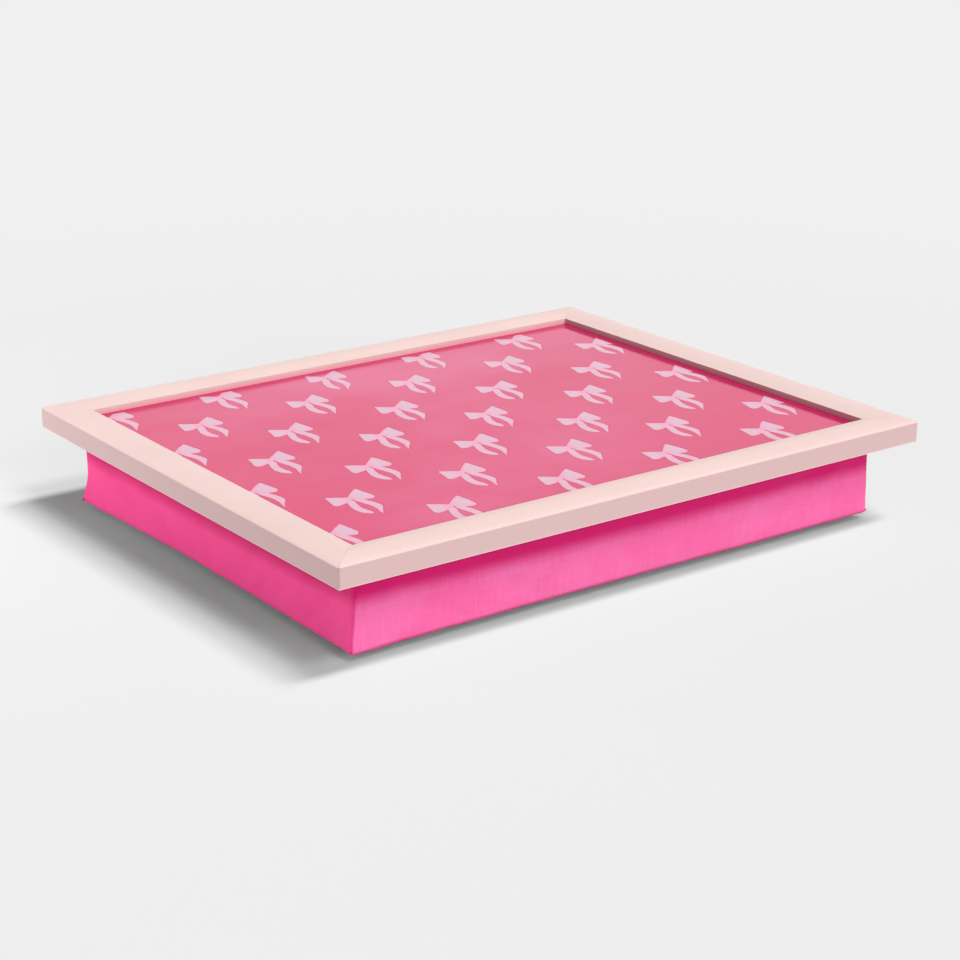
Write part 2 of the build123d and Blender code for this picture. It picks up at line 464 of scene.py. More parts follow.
def add_lamp(name, data, towards, spot=(0, 0, 0)):
    """Places a lamp that shines from the direction towards."""
    lamp = bpy.data.objects.new(name, data)
    lamp.rotation_euler = towards.to_track_quat("Z", "Y").to_euler()
    lamp.location = spot
    bpy.context.scene.collection.objects.link(lamp)
    return lamp


def light_studio():
    """A key light of three lamps on the right, a front and a low light, two cards and a pale surround."""
    for name, azimuth, elevation, softness, strength in LAMPS:
        sun = bpy.data.lights.new(name, "SUN")
        sun.angle = math.radians(softness)
        sun.energy = strength
        lamp = add_lamp(name, sun, direction(math.radians(azimuth), math.radians(elevation)))
        lamp.visible_glossy = elevation > GLARE_ELEVATION
    for name, spot, aim, width, height, power in CARDS:
        card = bpy.data.lights.new(name, "AREA")
        card.shape = "RECTANGLE"
        card.size = width
        card.size_y = height
        card.energy = power
        add_lamp(name, card, Vector(spot) - Vector(aim), spot)
    world = bpy.data.worlds.new("studio")
    world.use_nodes = True
    bpy.context.scene.world = world
    tree = world.node_tree
    background = tree.nodes["Background"]
    background.inputs["Color"].default_value = STUDIO_TONE
    path = place(tree, "ShaderNodeLightPath")
    seen = compute(tree, "MAXIMUM", path.outputs["Is Camera Ray"], path.outputs["Is Glossy Ray"])
    seen = compute(tree, "MAXIMUM", seen, path.outputs["Is Transmission Ray"])
    tree.links.new(ramp(tree, seen, 0.0, 1.0, AMBIENT_STRENGTH, 1.0), background.inputs["Strength"])


bpy.context.scene.view_settings.view_transform = "Standard"
set_camera()
lay_floor()
light_studio()

# The solids that keep their own shape, and their materials

rail_paint_long = painted_wood("rail_paint_long", along_x=True)
rail_paint_short = painted_wood("rail_paint_short", along_x=False)
steel = plain_metal()
for side, paint in (
    ("front", rail_paint_long),
    ("back", rail_paint_long),
    ("left", rail_paint_short),
    ("right", rail_paint_short),
):
    dress(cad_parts["frame_rail_" + side], paint)
for name in ("corner_v_nails", "board_points", "cover_staples"):
    dress(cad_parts[name], steel)
dress(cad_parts["tray_board"], fibreboard())

# Printed sheet: ribbon bows in a half-drop repeat on a plain ground

BOW_COLUMN_PITCH = 40.7 * MM
BOW_ROW_PITCH = 88.8 * MM
BOW_START_X = 14.5 * MM
BOW_START_Y = 8.5 * MM
BOW_MIDDLE_DROP = 14.0
BOW_LEAN = math.radians(2)
BOW_TURN = math.radians(9)
BOW_STRAY = 3.6
LOOP_LENGTH = 14.0
LEFT_LOOP_SHORTER = 0.5
LEFT_LOOP_SLANT = 0.3
RIGHT_LOOP_SLANT = 0.08
LOOP_TOP_RISE = 11.0
LOOP_TOP_CURVE = 0.85
LEFT_FOOT_DROP = 5.4
RIGHT_FOOT_LOWER = 2.4
LOOP_FOOT_CURVE = 2.5
LOOP_ROOT = 1.3
LOOP_BEVEL = 19.4
BEVEL_SLANT = 0.85
BEVEL_STEEPNESS = 0.76
LOOP_ROUNDING = 2.5
TAIL_START = 3.3
LEFT_TAIL_LENGTH = 29.5
LEFT_TAIL_SWING = 3.9
LEFT_SWING_START = 0.22
LEFT_SWING_TURN = math.pi * 0.86
LEFT_TIP_BLUNTNESS = 6.0
RIGHT_TAIL_LENGTH = 33.8
RIGHT_TAIL_SWING = 1.4
RIGHT_SWING_START = 0.25
RIGHT_SWING_END = 0.85
RIGHT_SWEEP_START = 0.64
RIGHT_TIP_SWEEP = 22.0
RIGHT_TIP_BLUNTNESS = 2.9
TAIL_HALF_WIDTH = 2.75
KNOT_RADIUS = 2.3
EDGE_SOFTNESS = 0.3
PRINT_GROUND = pigment(199, 5, 88)
# Pale pink patches: a painted sheen, for the gloss laminate's reflection of the bright room.
PRINT_PAINTED_SHEEN = pigment(208, 86, 134)
BOW_PALE = pigment(194, 165, 182)
BOW_ROSE = pigment(224, 131, 164)
BOW_OUTLINE = pigment(158, 14, 70)
# A deeper magenta beside the rails: the rails' painted shadow and their dark reflection in the gloss.
PRINT_RAIL_SHADE = pigment(172, 0, 76)
RAIL_SHADE_WIDTH = 8.5 * MM
RAIL_SHADE_FADE_SHARE = 0.72
RAIL_SHADE_SHARE = 0.9
BOW_STOP = 5.0 * MM
# How strong the painted sheen is: less on the left, fading out to the right.
LEFT_SHEEN_SHARE = 0.7
RIGHT_SHEEN_SHARE = 0.05
SHEEN_SLANT = 0.8
SHEEN_FADE_START = 30 * MM
SHEEN_FADE_END = 210 * MM
PRINT_SHIFT_X = -2.5 * MM
PRINT_SHIFT_Y = -0.5 * MM
LIP_HALF_LENGTH = HALF_LENGTH - RAIL_WIDTH
LIP_HALF_WIDTH = HALF_WIDTH - RAIL_WIDTH


class Wire:
    """A shader value that adds, multiplies and compares as a number does."""

    def __init__(self, tree, socket):
        self.tree = tree
        self.socket = socket

    def made(self, operation, *values):
        plain = [value.socket if isinstance(value, Wire) else value for value in values]
        return Wire(self.tree, compute(self.tree, operation, *plain))

    def __add__(self, other):
        return self.made("ADD", self, other)

    def __sub__(self, other):
        return self.made("SUBTRACT", self, other)

    def __rsub__(self, other):
        return self.made("SUBTRACT", other, self)

    def __mul__(self, other):
        return self.made("MULTIPLY", self, other)

    def __truediv__(self, other):
        return self.made("DIVIDE", self, other)

    def __pow__(self, other):
        return self.made("POWER", self, other)

    def __neg__(self):
        return self * -1.0

    def __abs__(self):
        return self.made("ABSOLUTE", self)

    def at_least(self, other):
        return self.made("MAXIMUM", self, other)

    def beyond(self, other, rounding):
        """The greater of two distances, with a rounded corner where they are equal."""
        return self.made("SMOOTH_MAX", self, other, rounding)

    def at_most(self, other):
        return self.made("MINIMUM", self, other)

    def sine(self):
        return self.made("SINE", self)

    def cosine(self):
        return self.made("COSINE", self)

    def whole(self):
        return self.made("ROUND", self)

    def step(self, low, high, at_low=0.0, at_high=1.0):
        return Wire(self.tree, ramp(self.tree, self.socket, low, high, at_low, at_high))


def share_of(value, low, high):
    """How far a wire's value has gone from low to high, from 0 to 1."""
    return ((value - low) / (high - low)).at_least(0.0).at_most(1.0)


def loops_edge(x, y):
    """Distance outside the bow's two fan-shaped loops, and outside their upper and lower edges alone."""
    right = x.step(-0.5, 0.5)
    side = abs(x)
    out = share_of(side, 0.0, LOOP_LENGTH)
    top = out**LOOP_TOP_CURVE * LOOP_TOP_RISE + LOOP_ROOT
    drop = right * RIGHT_FOOT_LOWER + LEFT_FOOT_DROP
    foot = (1.0 - (1.0 - out) ** LOOP_FOOT_CURVE) * drop + LOOP_ROOT
    slant = LEFT_LOOP_SLANT - right * (LEFT_LOOP_SLANT - RIGHT_LOOP_SLANT)
    end = LOOP_LENGTH - (1.0 - right) * LEFT_LOOP_SHORTER - y * slant
    bevel = (side - y * BEVEL_SLANT - LOOP_BEVEL) * BEVEL_STEEPNESS
    fold = (y - top).at_least(-y - foot)
    return fold.beyond(side - end, LOOP_ROUNDING).beyond(bevel, LOOP_ROUNDING), fold


def tails_edge(x, y):
    """Distance outside the bow's two wavy tails, the right one longer and drawn out to a point."""
    along = -y / LEFT_TAIL_LENGTH
    swing = (share_of(along, LEFT_SWING_START, 1.0) * LEFT_SWING_TURN).sine() * LEFT_TAIL_SWING
    width = ((1.0 - along) * LEFT_TIP_BLUNTNESS).at_least(0.0).at_most(1.0) ** 0.5 * TAIL_HALF_WIDTH
    left = (abs(x + TAIL_START + swing) - width).at_least((along - 1.0) * LEFT_TAIL_LENGTH)
    along = -y / RIGHT_TAIL_LENGTH
    swung = share_of(along, RIGHT_SWING_START, RIGHT_SWING_END)
    swing = (swung * math.pi).sine() * RIGHT_TAIL_SWING
    sweep = (along - RIGHT_SWEEP_START).at_least(0.0) ** 1.5 * -RIGHT_TIP_SWEEP
    width = ((1.0 - along) * RIGHT_TIP_BLUNTNESS).at_least(0.0).at_most(1.0) * TAIL_HALF_WIDTH
    right = (abs(x - TAIL_START - swing - sweep) - width).at_least((along - 1.0) * RIGHT_TAIL_LENGTH)
    return left.at_most(right).at_least(y + LOOP_ROOT)


def bow_group():
    """A bow in millimetres round its knot: its mask, its rosy folds and rims, and the line round it."""
    tree, given, out = new_group(
        "ribbon_bow",
        [(name, "NodeSocketFloat", 0.0) for name in ("X", "Y", "Unevenness")],
        [(name, "NodeSocketFloat") for name in ("Mask", "Rose", "Outline")],
    )
    x, y, uneven = (Wire(tree, given[name]) for name in ("X", "Y", "Unevenness"))
    loops, loop_folds = loops_edge(x, y)
    loops = loops + uneven
    tails = tails_edge(x, y) + uneven * 0.8
    knot = (x * x + y * y) ** 0.5 - KNOT_RADIUS
    edge = loops.at_most(tails).at_most(knot)
    in_loop = loops.step(-EDGE_SOFTNESS, EDGE_SOFTNESS, 1.0, 0.0)
    rims = edge.step(-1.4, -0.2, 0.0, 0.5).at_least(loop_folds.step(-2.4, -0.6, 0.0, 0.9) * in_loop)
    folds = abs(x).step(2.0, 7.0, 0.7, 0.0) * in_loop
    hooks = tails.step(-1.6, -0.2, 0.15, 0.6) * (-y).step(2.0, 8.0)
    tree.links.new(edge.step(-EDGE_SOFTNESS, EDGE_SOFTNESS, 1.0, 0.0).socket, out["Mask"])
    tree.links.new(rims.at_least(folds).at_least(hooks).socket, out["Rose"])
    tree.links.new(edge.step(0.1, 1.7, 1.0, 0.0).socket, out["Outline"])
    return tree


def repeat_places(tree, here):
    """Where a point lies in its own repeat, in millimetres from the bow's knot, and three chance numbers."""
    sheet_x, sheet_y = (Wire(tree, part) for part in parts_of(tree, here)[:2])
    column_place = (sheet_x - BOW_START_X) / BOW_COLUMN_PITCH
    column = column_place.whole()
    drop = column.made("PINGPONG", column, 1.0) * 0.5
    row_place = (sheet_y + (BOW_MIDDLE_DROP * MM - BOW_START_Y)) / BOW_ROW_PITCH - drop
    row = row_place.whole()
    cell = place(tree, "ShaderNodeCombineXYZ")
    tree.links.new(column.socket, cell.inputs["X"])
    tree.links.new(row.socket, cell.inputs["Y"])
    scatter = place(tree, "ShaderNodeTexWhiteNoise", noise_dimensions="2D")
    tree.links.new(cell.outputs[0], scatter.inputs["Vector"])
    chance = place(tree, "ShaderNodeSeparateColor")
    tree.links.new(scatter.outputs["Color"], chance.inputs[0])
    x = (column_place - column) * (BOW_COLUMN_PITCH / MM)
    y = (row_place - row) * (BOW_ROW_PITCH / MM) - BOW_MIDDLE_DROP
    return x, y, [Wire(tree, output) - 0.5 for output in chance.outputs]


def sheet_inset(tree, here):
    """How far in from the rails a point of the print is."""
    x, y = (Wire(tree, part) for part in parts_of(tree, here)[:2])
    from_end = LIP_HALF_LENGTH - abs(x - PRINT_SHIFT_X)
    return from_end.at_most(LIP_HALF_WIDTH - abs(y - PRINT_SHIFT_Y))


def ground_tone(tree, here):
    """The print's plain ground with a painted sheen in slow pale patches, for the gloss's reflection of the
    room, fading out to the right, and a fine grain.
    """
    cloud = use_group(tree, MOTTLE, Vector=here, Scale=6.0, High=0.7)["Value"]
    streak = speckle(tree, here, 90.0, detail=3.0, roughness=0.6, stretch=(0.12, 1.0, 1.0))
    painted_sheen = times(tree, cloud, ramp(tree, streak, 0.3, 0.7, 0.7, 1.0))
    x, y = parts_of(tree, here)[:2]
    left_sheen = ramp(tree, x, -LIP_HALF_LENGTH, 0.0, LEFT_SHEEN_SHARE, 1.0)
    slant = compute(tree, "SUBTRACT", x, times(tree, y, SHEEN_SLANT))
    right_sheen = ramp(tree, slant, SHEEN_FADE_START, SHEEN_FADE_END, 1.0, RIGHT_SHEEN_SHARE)
    painted_sheen = times(tree, painted_sheen, times(tree, left_sheen, right_sheen))
    # Painted sheen: the ground paled in patches where the gloss reflects the room.
    ground = tint(tree, painted_sheen, PRINT_GROUND, PRINT_PAINTED_SHEEN)
    grain = speckle(tree, here, 3200.0, detail=1.0)
    return tint(tree, ramp(tree, grain, 0.3, 0.7, 0.0, 0.12), ground, BOW_OUTLINE)


def printed_sheet():
    """Hot pink printed sheet with pale ribbon bows, under a clear gloss laminate that isn't quite flat."""
    material, tree, here = new_material("printed_gloss_sheet")
    x, y, chances = repeat_places(tree, here)
    x = x + chances[0] * (BOW_STRAY / 2)
    y = y + chances[1] * BOW_STRAY
    turn = chances[2] * BOW_TURN - BOW_LEAN
    turned_x = x * turn.cosine() - y * turn.sine()
    turned_y = x * turn.sine() + y * turn.cosine()
    brush = compute(tree, "SUBTRACT", speckle(tree, here, 220.0, detail=2.0), 0.5)
    bow = use_group(tree, BOW, X=turned_x.socket, Y=turned_y.socket, Unevenness=brush)
    outline = times(tree, bow["Outline"], 0.4)
    ground = tint(tree, outline, ground_tone(tree, here), BOW_OUTLINE)
    paint = tint(tree, bow["Rose"], BOW_PALE, BOW_ROSE)
    smears = use_group(tree, MOTTLE, Vector=here, Scale=420.0, High=0.3)["Value"]
    paint = tint(tree, smears, paint, BOW_ROSE)
    inset = sheet_inset(tree, here)
    # Painted shadow and dark reflection of the rails, along the sheet's edges.
    rail_shade = inset.step(RAIL_SHADE_WIDTH * RAIL_SHADE_FADE_SHARE, RAIL_SHADE_WIDTH, RAIL_SHADE_SHARE, 0.0)
    ground = tint(tree, rail_shade.socket, ground, PRINT_RAIL_SHADE)
    mask = times(tree, bow["Mask"], inset.step(BOW_STOP - 1.0 * MM, BOW_STOP).socket)
    waves = speckle(tree, here, 16.0, detail=2.0, stretch=(0.6, 1.0, 1.0))
    ripples = speckle(tree, here, 90.0, detail=2.0, stretch=(0.25, 1.0, 1.0))
    relief = compute(tree, "MULTIPLY_ADD", ripples, 0.06, waves)
    looks = {
        "Base Color": tint(tree, mask, ground, paint),
        "Roughness": use_group(tree, MOTTLE, Vector=here, Scale=9.0, Low=0.07, High=0.17)["Value"],
        "Specular IOR Level": 0.46,
        "Normal": bump(tree, relief, 1.2 * MM, 0.6),
    }
    return finished(material, looks)


BOW = bow_group()
dress(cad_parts["print_laminate"], printed_sheet())

# Cushion cover: sizes

base_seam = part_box("cover_base")[1]
WALL_BULGE = 2.0 * MM
BULGE_ROUNDNESS = 0.8
SEAM_FLARE = 1.2 * MM
COVER_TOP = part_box("cover_wall_front")[1].z
SEAM_LEVEL = base_seam.z
WALL_HALF_LENGTH = base_seam.x - SEAM_FLARE
WALL_HALF_WIDTH = base_seam.y - SEAM_FLARE
WALL_HEIGHT = COVER_TOP - SEAM_LEVEL
HEM_WIDTH = 14.0 * MM
FABRIC_THICKNESS = 0.8 * MM
TOP_CORNER_RADIUS = 2.6 * MM
BOTTOM_CORNER_RADIUS = 0.8 * MM
ROLL_WIDTH = 9.0 * MM
ROLL_SHARE = 0.45
CONTACT_INSET = 38.0 * MM
CORNER_REACH = 34.0 * MM
CORNER_HEIGHT = 22.0 * MM
SIDE_FLARE_REACH = 120.0 * MM
CORNER_FLARES = {(-1, 1): 3.0 * MM, (-1, -1): 0.8 * MM, (1, -1): -0.5 * MM, (1, 1): 0.8 * MM}
TOP_DRAWS = {(-1, 1): (-1.4, -1.0), (-1, -1): (2.8, 0.4), (1, -1): (0.0, 0.0), (1, 1): (1.5, 0.8)}
CORNER_LEANS = {(-1, 1): 0.6 * MM, (-1, -1): 0.4 * MM, (1, -1): 0.3 * MM, (1, 1): -0.8 * MM}
ROUNDING_PACE = 1.15
LEAN_PACE = 1.6
DRAW_PACE = 1.1
FINE_CELL = 1.3 * MM
COARSE_CELL = 5.0 * MM
CELL_GROWTH = 1.35
UPRIGHT_CELL = 2.6 * MM
HEM_LEVEL = WALL_HEIGHT - UPRIGHT_CELL

PANELS = ("front", "back", "left", "right", "base")
FRONT, BACK, LEFT, RIGHT, BASE = range(len(PANELS))


def cut_places(half):
    """Distances from the middle at which a face is cut, closer together beside the seam."""
    places = []
    inset = 0.0
    step = FINE_CELL
    while inset + step < half:
        inset += step
        places.append(half - inset)
        step = min(step * CELL_GROWTH, COARSE_CELL)
    return places + [place * -1 for place in places]


def cut_block():
    """The cover as it is cut: a box in small cells, open on top inside its hem."""
    block = bmesh.new()
    size = Vector((WALL_HALF_LENGTH * 2, WALL_HALF_WIDTH * 2, WALL_HEIGHT))
    middle = Matrix.Translation((0, 0, WALL_HEIGHT / 2))
    bmesh.ops.create_cube(block, size=1, matrix=middle @ Matrix.Diagonal(size).to_4x4())
    levels = [UPRIGHT_CELL * step for step in range(1, int(WALL_HEIGHT / UPRIGHT_CELL) + 1)]
    across = (cut_places(WALL_HALF_LENGTH), cut_places(WALL_HALF_WIDTH), levels)
    for axis, places in enumerate(across):
        normal = Vector((0, 0, 0))
        normal[axis] = 1.0
        for place_on_axis in places:
            geometry = block.verts[:] + block.edges[:] + block.faces[:]
            bmesh.ops.bisect_plane(block, geom=geometry, plane_co=normal * place_on_axis, plane_no=normal)
    return block


def seam_distance(spot):
    """How far in from the nearer wall a point of the flat top or base is."""
    return min(WALL_HALF_LENGTH - abs(spot.x), WALL_HALF_WIDTH - abs(spot.y))


def panel_of(face):
    """The panel that a face of the block is cut from. A hem goes with its wall."""
    spot = face.calc_center_median()
    if face.normal.z < -0.5:
        return BASE
    if WALL_HALF_LENGTH - abs(spot.x) < WALL_HALF_WIDTH - abs(spot.y):
        return RIGHT if spot.x > 0 else LEFT
    return BACK if spot.y > 0 else FRONT


def mark_panels(block):
    """Drops the top inside the hem, and keeps each cell's panel, flat place and cloth coordinates."""
    block.normal_update()
    open_top = [
        face
        for face in block.faces
        if face.normal.z > 0.5 and seam_distance(face.calc_center_median()) > HEM_WIDTH
    ]
    bmesh.ops.delete(block, geom=open_top, context="FACES")
    panel = block.faces.layers.int.new("panel")
    flat = block.verts.layers.float_vector.new("flat")
    cloth = block.loops.layers.uv.new("cloth")
    for vertex in block.verts:
        vertex[flat] = vertex.co
    for face in block.faces:
        face[panel] = panel_of(face)
        hem = face.normal.z > 0.5
        for loop in face.loops:
            spot = loop.vert.co
            along = spot.y if face[panel] in (LEFT, RIGHT) else spot.x
            rise = spot.z + seam_distance(spot) if hem else spot.z
            loop[cloth].uv = (spot.x, spot.y) if face[panel] == BASE else (along, rise)


def corner_of(x, y):
    """The signs of the corner that a point of the plan is nearest to."""
    return (1 if x > 0 else -1, 1 if y > 0 else -1)


def smooth_step(value):
    """A smooth rise from 0 to 1, while value goes from 0 to 1."""
    value = min(max(value, 0.0), 1.0)
    return value * value * (3 - 2 * value)


def corner_place(past_seam, radius):
    """How far in from the walls' sharp corner, along X and along Y, a point is that lies past_seam from the
    corner's seam, round an arc of that radius, towards the long wall if positive."""
    half_arc = radius * math.radians(45)
    if abs(past_seam) > half_arc:
        straight = radius + abs(past_seam) - half_arc
        return (straight, 0.0) if past_seam > 0 else (0.0, straight)
    turn = math.radians(45) + past_seam / radius
    return radius * (1 - math.cos(turn)), radius * (1 - math.sin(turn))


def wall_place(x, y, rise):
    """Where a point of the walls' plan goes at a height above the seam, as a sewn and filled cover has it."""
    share = rise / WALL_HEIGHT
    corner = corner_of(x, y)
    radius = BOTTOM_CORNER_RADIUS
    radius += (TOP_CORNER_RADIUS - BOTTOM_CORNER_RADIUS) * smooth_step(share * ROUNDING_PACE)
    short_wall = WALL_HALF_LENGTH - abs(x) <= WALL_HALF_WIDTH - abs(y)
    from_corner = WALL_HALF_WIDTH - abs(y) if short_wall else WALL_HALF_LENGTH - abs(x)
    near_corner = 1 - smooth_step(from_corner / CORNER_REACH)
    slack = radius * (1 - math.radians(45)) * (1 - near_corner)
    past_seam = (from_corner - slack) * (-1 if short_wall else 1)
    past_seam += CORNER_LEANS[corner] * smooth_step(share * LEAN_PACE) * near_corner
    inset_x, inset_y = corner_place(past_seam, radius)
    full = smooth_step(from_corner / (CORNER_REACH * 2))
    bulge = WALL_BULGE * full * max(math.sin(math.pi * share), 0.0) ** BULGE_ROUNDNESS
    flare = SEAM_FLARE * (1 - share) ** 3
    tip = CORNER_FLARES[corner] * (1 - smooth_step(rise / CORNER_HEIGHT))
    side_tip = tip * (1 - smooth_step(from_corner / SIDE_FLARE_REACH)) if short_wall else tip * near_corner
    out_x = (bulge + flare if short_wall else flare * near_corner) + side_tip
    out_y = (flare * near_corner if short_wall else bulge + flare) + tip * near_corner
    drawn = smooth_step(share * DRAW_PACE)
    draw_x, draw_y = (draw * MM * near_corner * drawn for draw in TOP_DRAWS[corner])
    new_x = WALL_HALF_LENGTH - inset_x + out_x - draw_x
    new_y = WALL_HALF_WIDTH - inset_y + out_y - draw_y
    return new_x * corner[0], new_y * corner[1]


def base_level(inset):
    """Height of the base panel that far in from its seam: a short steep roll, and then down to the floor."""
    if inset < ROLL_WIDTH:
        share = inset / ROLL_WIDTH
        return SEAM_LEVEL * (1 - (1 - ROLL_SHARE) * (2 * share - share * share))
    share = min((inset - ROLL_WIDTH) / (CONTACT_INSET - ROLL_WIDTH), 1.0)
    return SEAM_LEVEL * ROLL_SHARE * (1 - share) ** 2


def sewn_place(spot, on_wall):
    """A point of the cut block, in the place that it takes once the cover is sewn and filled."""
    if on_wall:
        x, y = wall_place(spot.x, spot.y, spot.z)
        return Vector((x, y, SEAM_LEVEL + spot.z))
    inwards = max(abs(spot.x) / WALL_HALF_LENGTH, abs(spot.y) / WALL_HALF_WIDTH)
    if inwards == 0:
        return Vector((0, 0, 0))
    rise = WALL_HEIGHT if spot.z > WALL_HEIGHT / 2 else 0.0
    x, y = wall_place(spot.x / inwards, spot.y / inwards, rise)
    level = COVER_TOP if rise else base_level(seam_distance(spot))
    return Vector((x * inwards, y * inwards, level))


# Cushion cover: the filling pushes the cloth out

CLOTH_SETTINGS = {
    "quality": 6,
    "use_pressure": True,
    "uniform_pressure_force": 4.0,
    "vertex_group_mass": "held",
    "pin_stiffness": 1.0,
    "tension_stiffness": 30,
    "compression_stiffness": 20,
    "shear_stiffness": 12,
    "bending_stiffness": 1.2,
}
LAST_FRAME = 20
LARGEST_SWELL = 3.5 * MM
SEAM_HOLD = 0.35
UNEVEN_DEPTH = 0.7 * MM
UNEVEN_SCALE = 22.0


def hold_of(vertex, flat):
    """How firmly a point is held: fully at the stapled hem, and partly along the seams."""
    spot = vertex[flat]
    if spot.z > HEM_LEVEL:
        return 1.0
    at_end = abs(abs(spot.x) - WALL_HALF_LENGTH) < FINE_CELL / 2
    at_side = abs(abs(spot.y) - WALL_HALF_WIDTH) < FINE_CELL / 2
    on_base_seam = spot.z < FINE_CELL / 2 and seam_distance(spot) < FINE_CELL / 2
    return SEAM_HOLD if (at_end and at_side) or on_base_seam else 0.0


def sewn_cover():
    """The sewn cover before it swells, as an object with the group that the simulation holds."""
    block = cut_block()
    mark_panels(block)
    flat = block.verts.layers.float_vector["flat"]
    for vertex in block.verts:
        spot = vertex[flat]
        on_wall = seam_distance(spot) < FINE_CELL / 2
        vertex.co = sewn_place(spot, on_wall)
        patch = noise.noise(vertex.co * UNEVEN_SCALE) * UNEVEN_DEPTH
        fade = smooth_step((WALL_HEIGHT - spot.z) / (WALL_HEIGHT / 3)) * smooth_step(vertex.co.z / SEAM_LEVEL)
        outwards = Vector((vertex.co.x / WALL_HALF_LENGTH, vertex.co.y / WALL_HALF_WIDTH, 0)).normalized()
        vertex.co += outwards * patch * fade
    holds = [hold_of(vertex, flat) for vertex in block.verts]
    cover = piece_from("sewn_cover", block)
    group = cover.vertex_groups.new(name="held")
    for index, hold in enumerate(holds):
        if hold:
            group.add([index], hold, "REPLACE")
    return cover


def applied(piece, levels=0):
    """The piece's mesh with its modifiers applied, after any subdivision."""
    if levels:
        smooth = piece.modifiers.new("smooth", "SUBSURF")
        smooth.levels = smooth.render_levels = levels
    graph = bpy.context.evaluated_depsgraph_get()
    shown = piece.evaluated_get(graph)
    return bpy.data.meshes.new_from_object(shown, preserve_all_data_layers=True, depsgraph=graph)


def set_mesh(piece, mesh):
    """Gives a piece a finished mesh in place of its modifiers."""
    piece.modifiers.clear()
    piece.data = mesh


def swell(cover):
    """Runs the cloth under the filling's pressure. No point goes past the largest swell or into the floor."""
    start = [vertex.co.copy() for vertex in cover.data.vertices]
    cloth = cover.modifiers.new("cloth", "CLOTH")
    for setting, value in CLOTH_SETTINGS.items():
        setattr(cloth.settings, setting, value)
    cloth.settings.effector_weights.gravity = 0
    scene = bpy.context.scene
    for moment in range(1, LAST_FRAME + 1):
        scene.frame_set(moment)
    graph = bpy.context.evaluated_depsgraph_get()
    moved = cover.evaluated_get(graph).data.vertices
    for vertex, was, now in zip(cover.data.vertices, start, moved):
        step = now.co - was
        if step.length > LARGEST_SWELL:
            step *= LARGEST_SWELL / step.length
        vertex.co = was + step
    cover.modifiers.remove(cloth)
    scene.frame_set(1)
    for vertex in cover.data.vertices:
        vertex.co.z = max(vertex.co.z, 0.0)


# Cushion cover: seams

GROOVE_WIDTH = 2.4 * MM
GROOVE_DEPTH = 0.8 * MM
SEAM_LINE_WIDTH = 1.0 * MM
PUCKER_DEPTH = 0.35 * MM
PUCKER_REACH = 7.0 * MM
PUCKER_SCALE = 210.0
PUCKER_LEAST_SHARE = 0.35
RIM_ANGLE = math.radians(50)


def draw_seams(data):
    """Draws the cloth in along every seam, with short puckers that run out from the stitches."""
    shell = bmesh.new()
    shell.from_mesh(data)
    shell.normal_update()
    flat = shell.verts.layers.float_vector["flat"]
    seam = shell.verts.layers.float.new("seam")
    for vertex in shell.verts:
        spot = vertex[flat]
        if spot.z > HEM_LEVEL:
            continue
        on_wall = seam_distance(spot) < FINE_CELL / 4
        to_corner = max(WALL_HALF_LENGTH - abs(spot.x), WALL_HALF_WIDTH - abs(spot.y))
        to_base = spot.z if on_wall else seam_distance(spot)
        to_seam = min(to_corner, to_base) if on_wall else to_base
        # Nearness to a seam, which the fabric uses for painted shade along the seam.
        vertex[seam] = max(1 - to_seam / SEAM_LINE_WIDTH, 0.0)
        groove = GROOVE_DEPTH * max(1 - to_seam / GROOVE_WIDTH, 0.0) ** 2
        near = math.exp(-to_seam / PUCKER_REACH)
        low_corner = math.exp(-spot.z / CORNER_HEIGHT * 2) * math.exp(-to_corner / CORNER_REACH * 2)
        gathered = PUCKER_LEAST_SHARE + (1 - PUCKER_LEAST_SHARE) * low_corner
        ripple = noise.noise(spot * PUCKER_SCALE) * PUCKER_DEPTH * near * gathered
        fade = smooth_step(vertex.co.z / (SEAM_LEVEL / 2))
        vertex.co += vertex.normal * (ripple - groove) * fade
    shell.to_mesh(data)
    shell.free()


def panel_piece(data, panel, name):
    """One panel of the cover as its own shell, thickened inwards."""
    shell = bmesh.new()
    shell.from_mesh(data)
    layer = shell.faces.layers.int["panel"]
    others = [face for face in shell.faces if face[layer] != panel]
    bmesh.ops.delete(shell, geom=others, context="FACES")
    piece = piece_from(name, shell, smooth=True)
    wall = piece.modifiers.new("cloth_thickness", "SOLIDIFY")
    wall.thickness = FABRIC_THICKNESS
    wall.offset = -1.0
    wall.use_even_offset = True
    set_mesh(piece, applied(piece))
    piece.data.set_sharp_from_angle(angle=RIM_ANGLE)
    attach(piece, BODY)
    return piece


# Cushion cover: stitches

STITCH_PITCH = 3.0 * MM
STITCH_LENGTH = 1.8 * MM
STITCH_WIDTH = 0.7 * MM
KNOT_WIDTH = 2.0 * MM
CORNER_STITCH_SIZE = 0.8
HEM_STITCH_SIZE = 0.5
THREAD_DARK = pigment(206, 20, 98)
THREAD_PALE = pigment(236, 38, 118)


def in_order(row):
    """The points of a row of (measure, point), by their measure."""
    return [spot for _, spot in sorted(row, key=lambda item: item[0])]


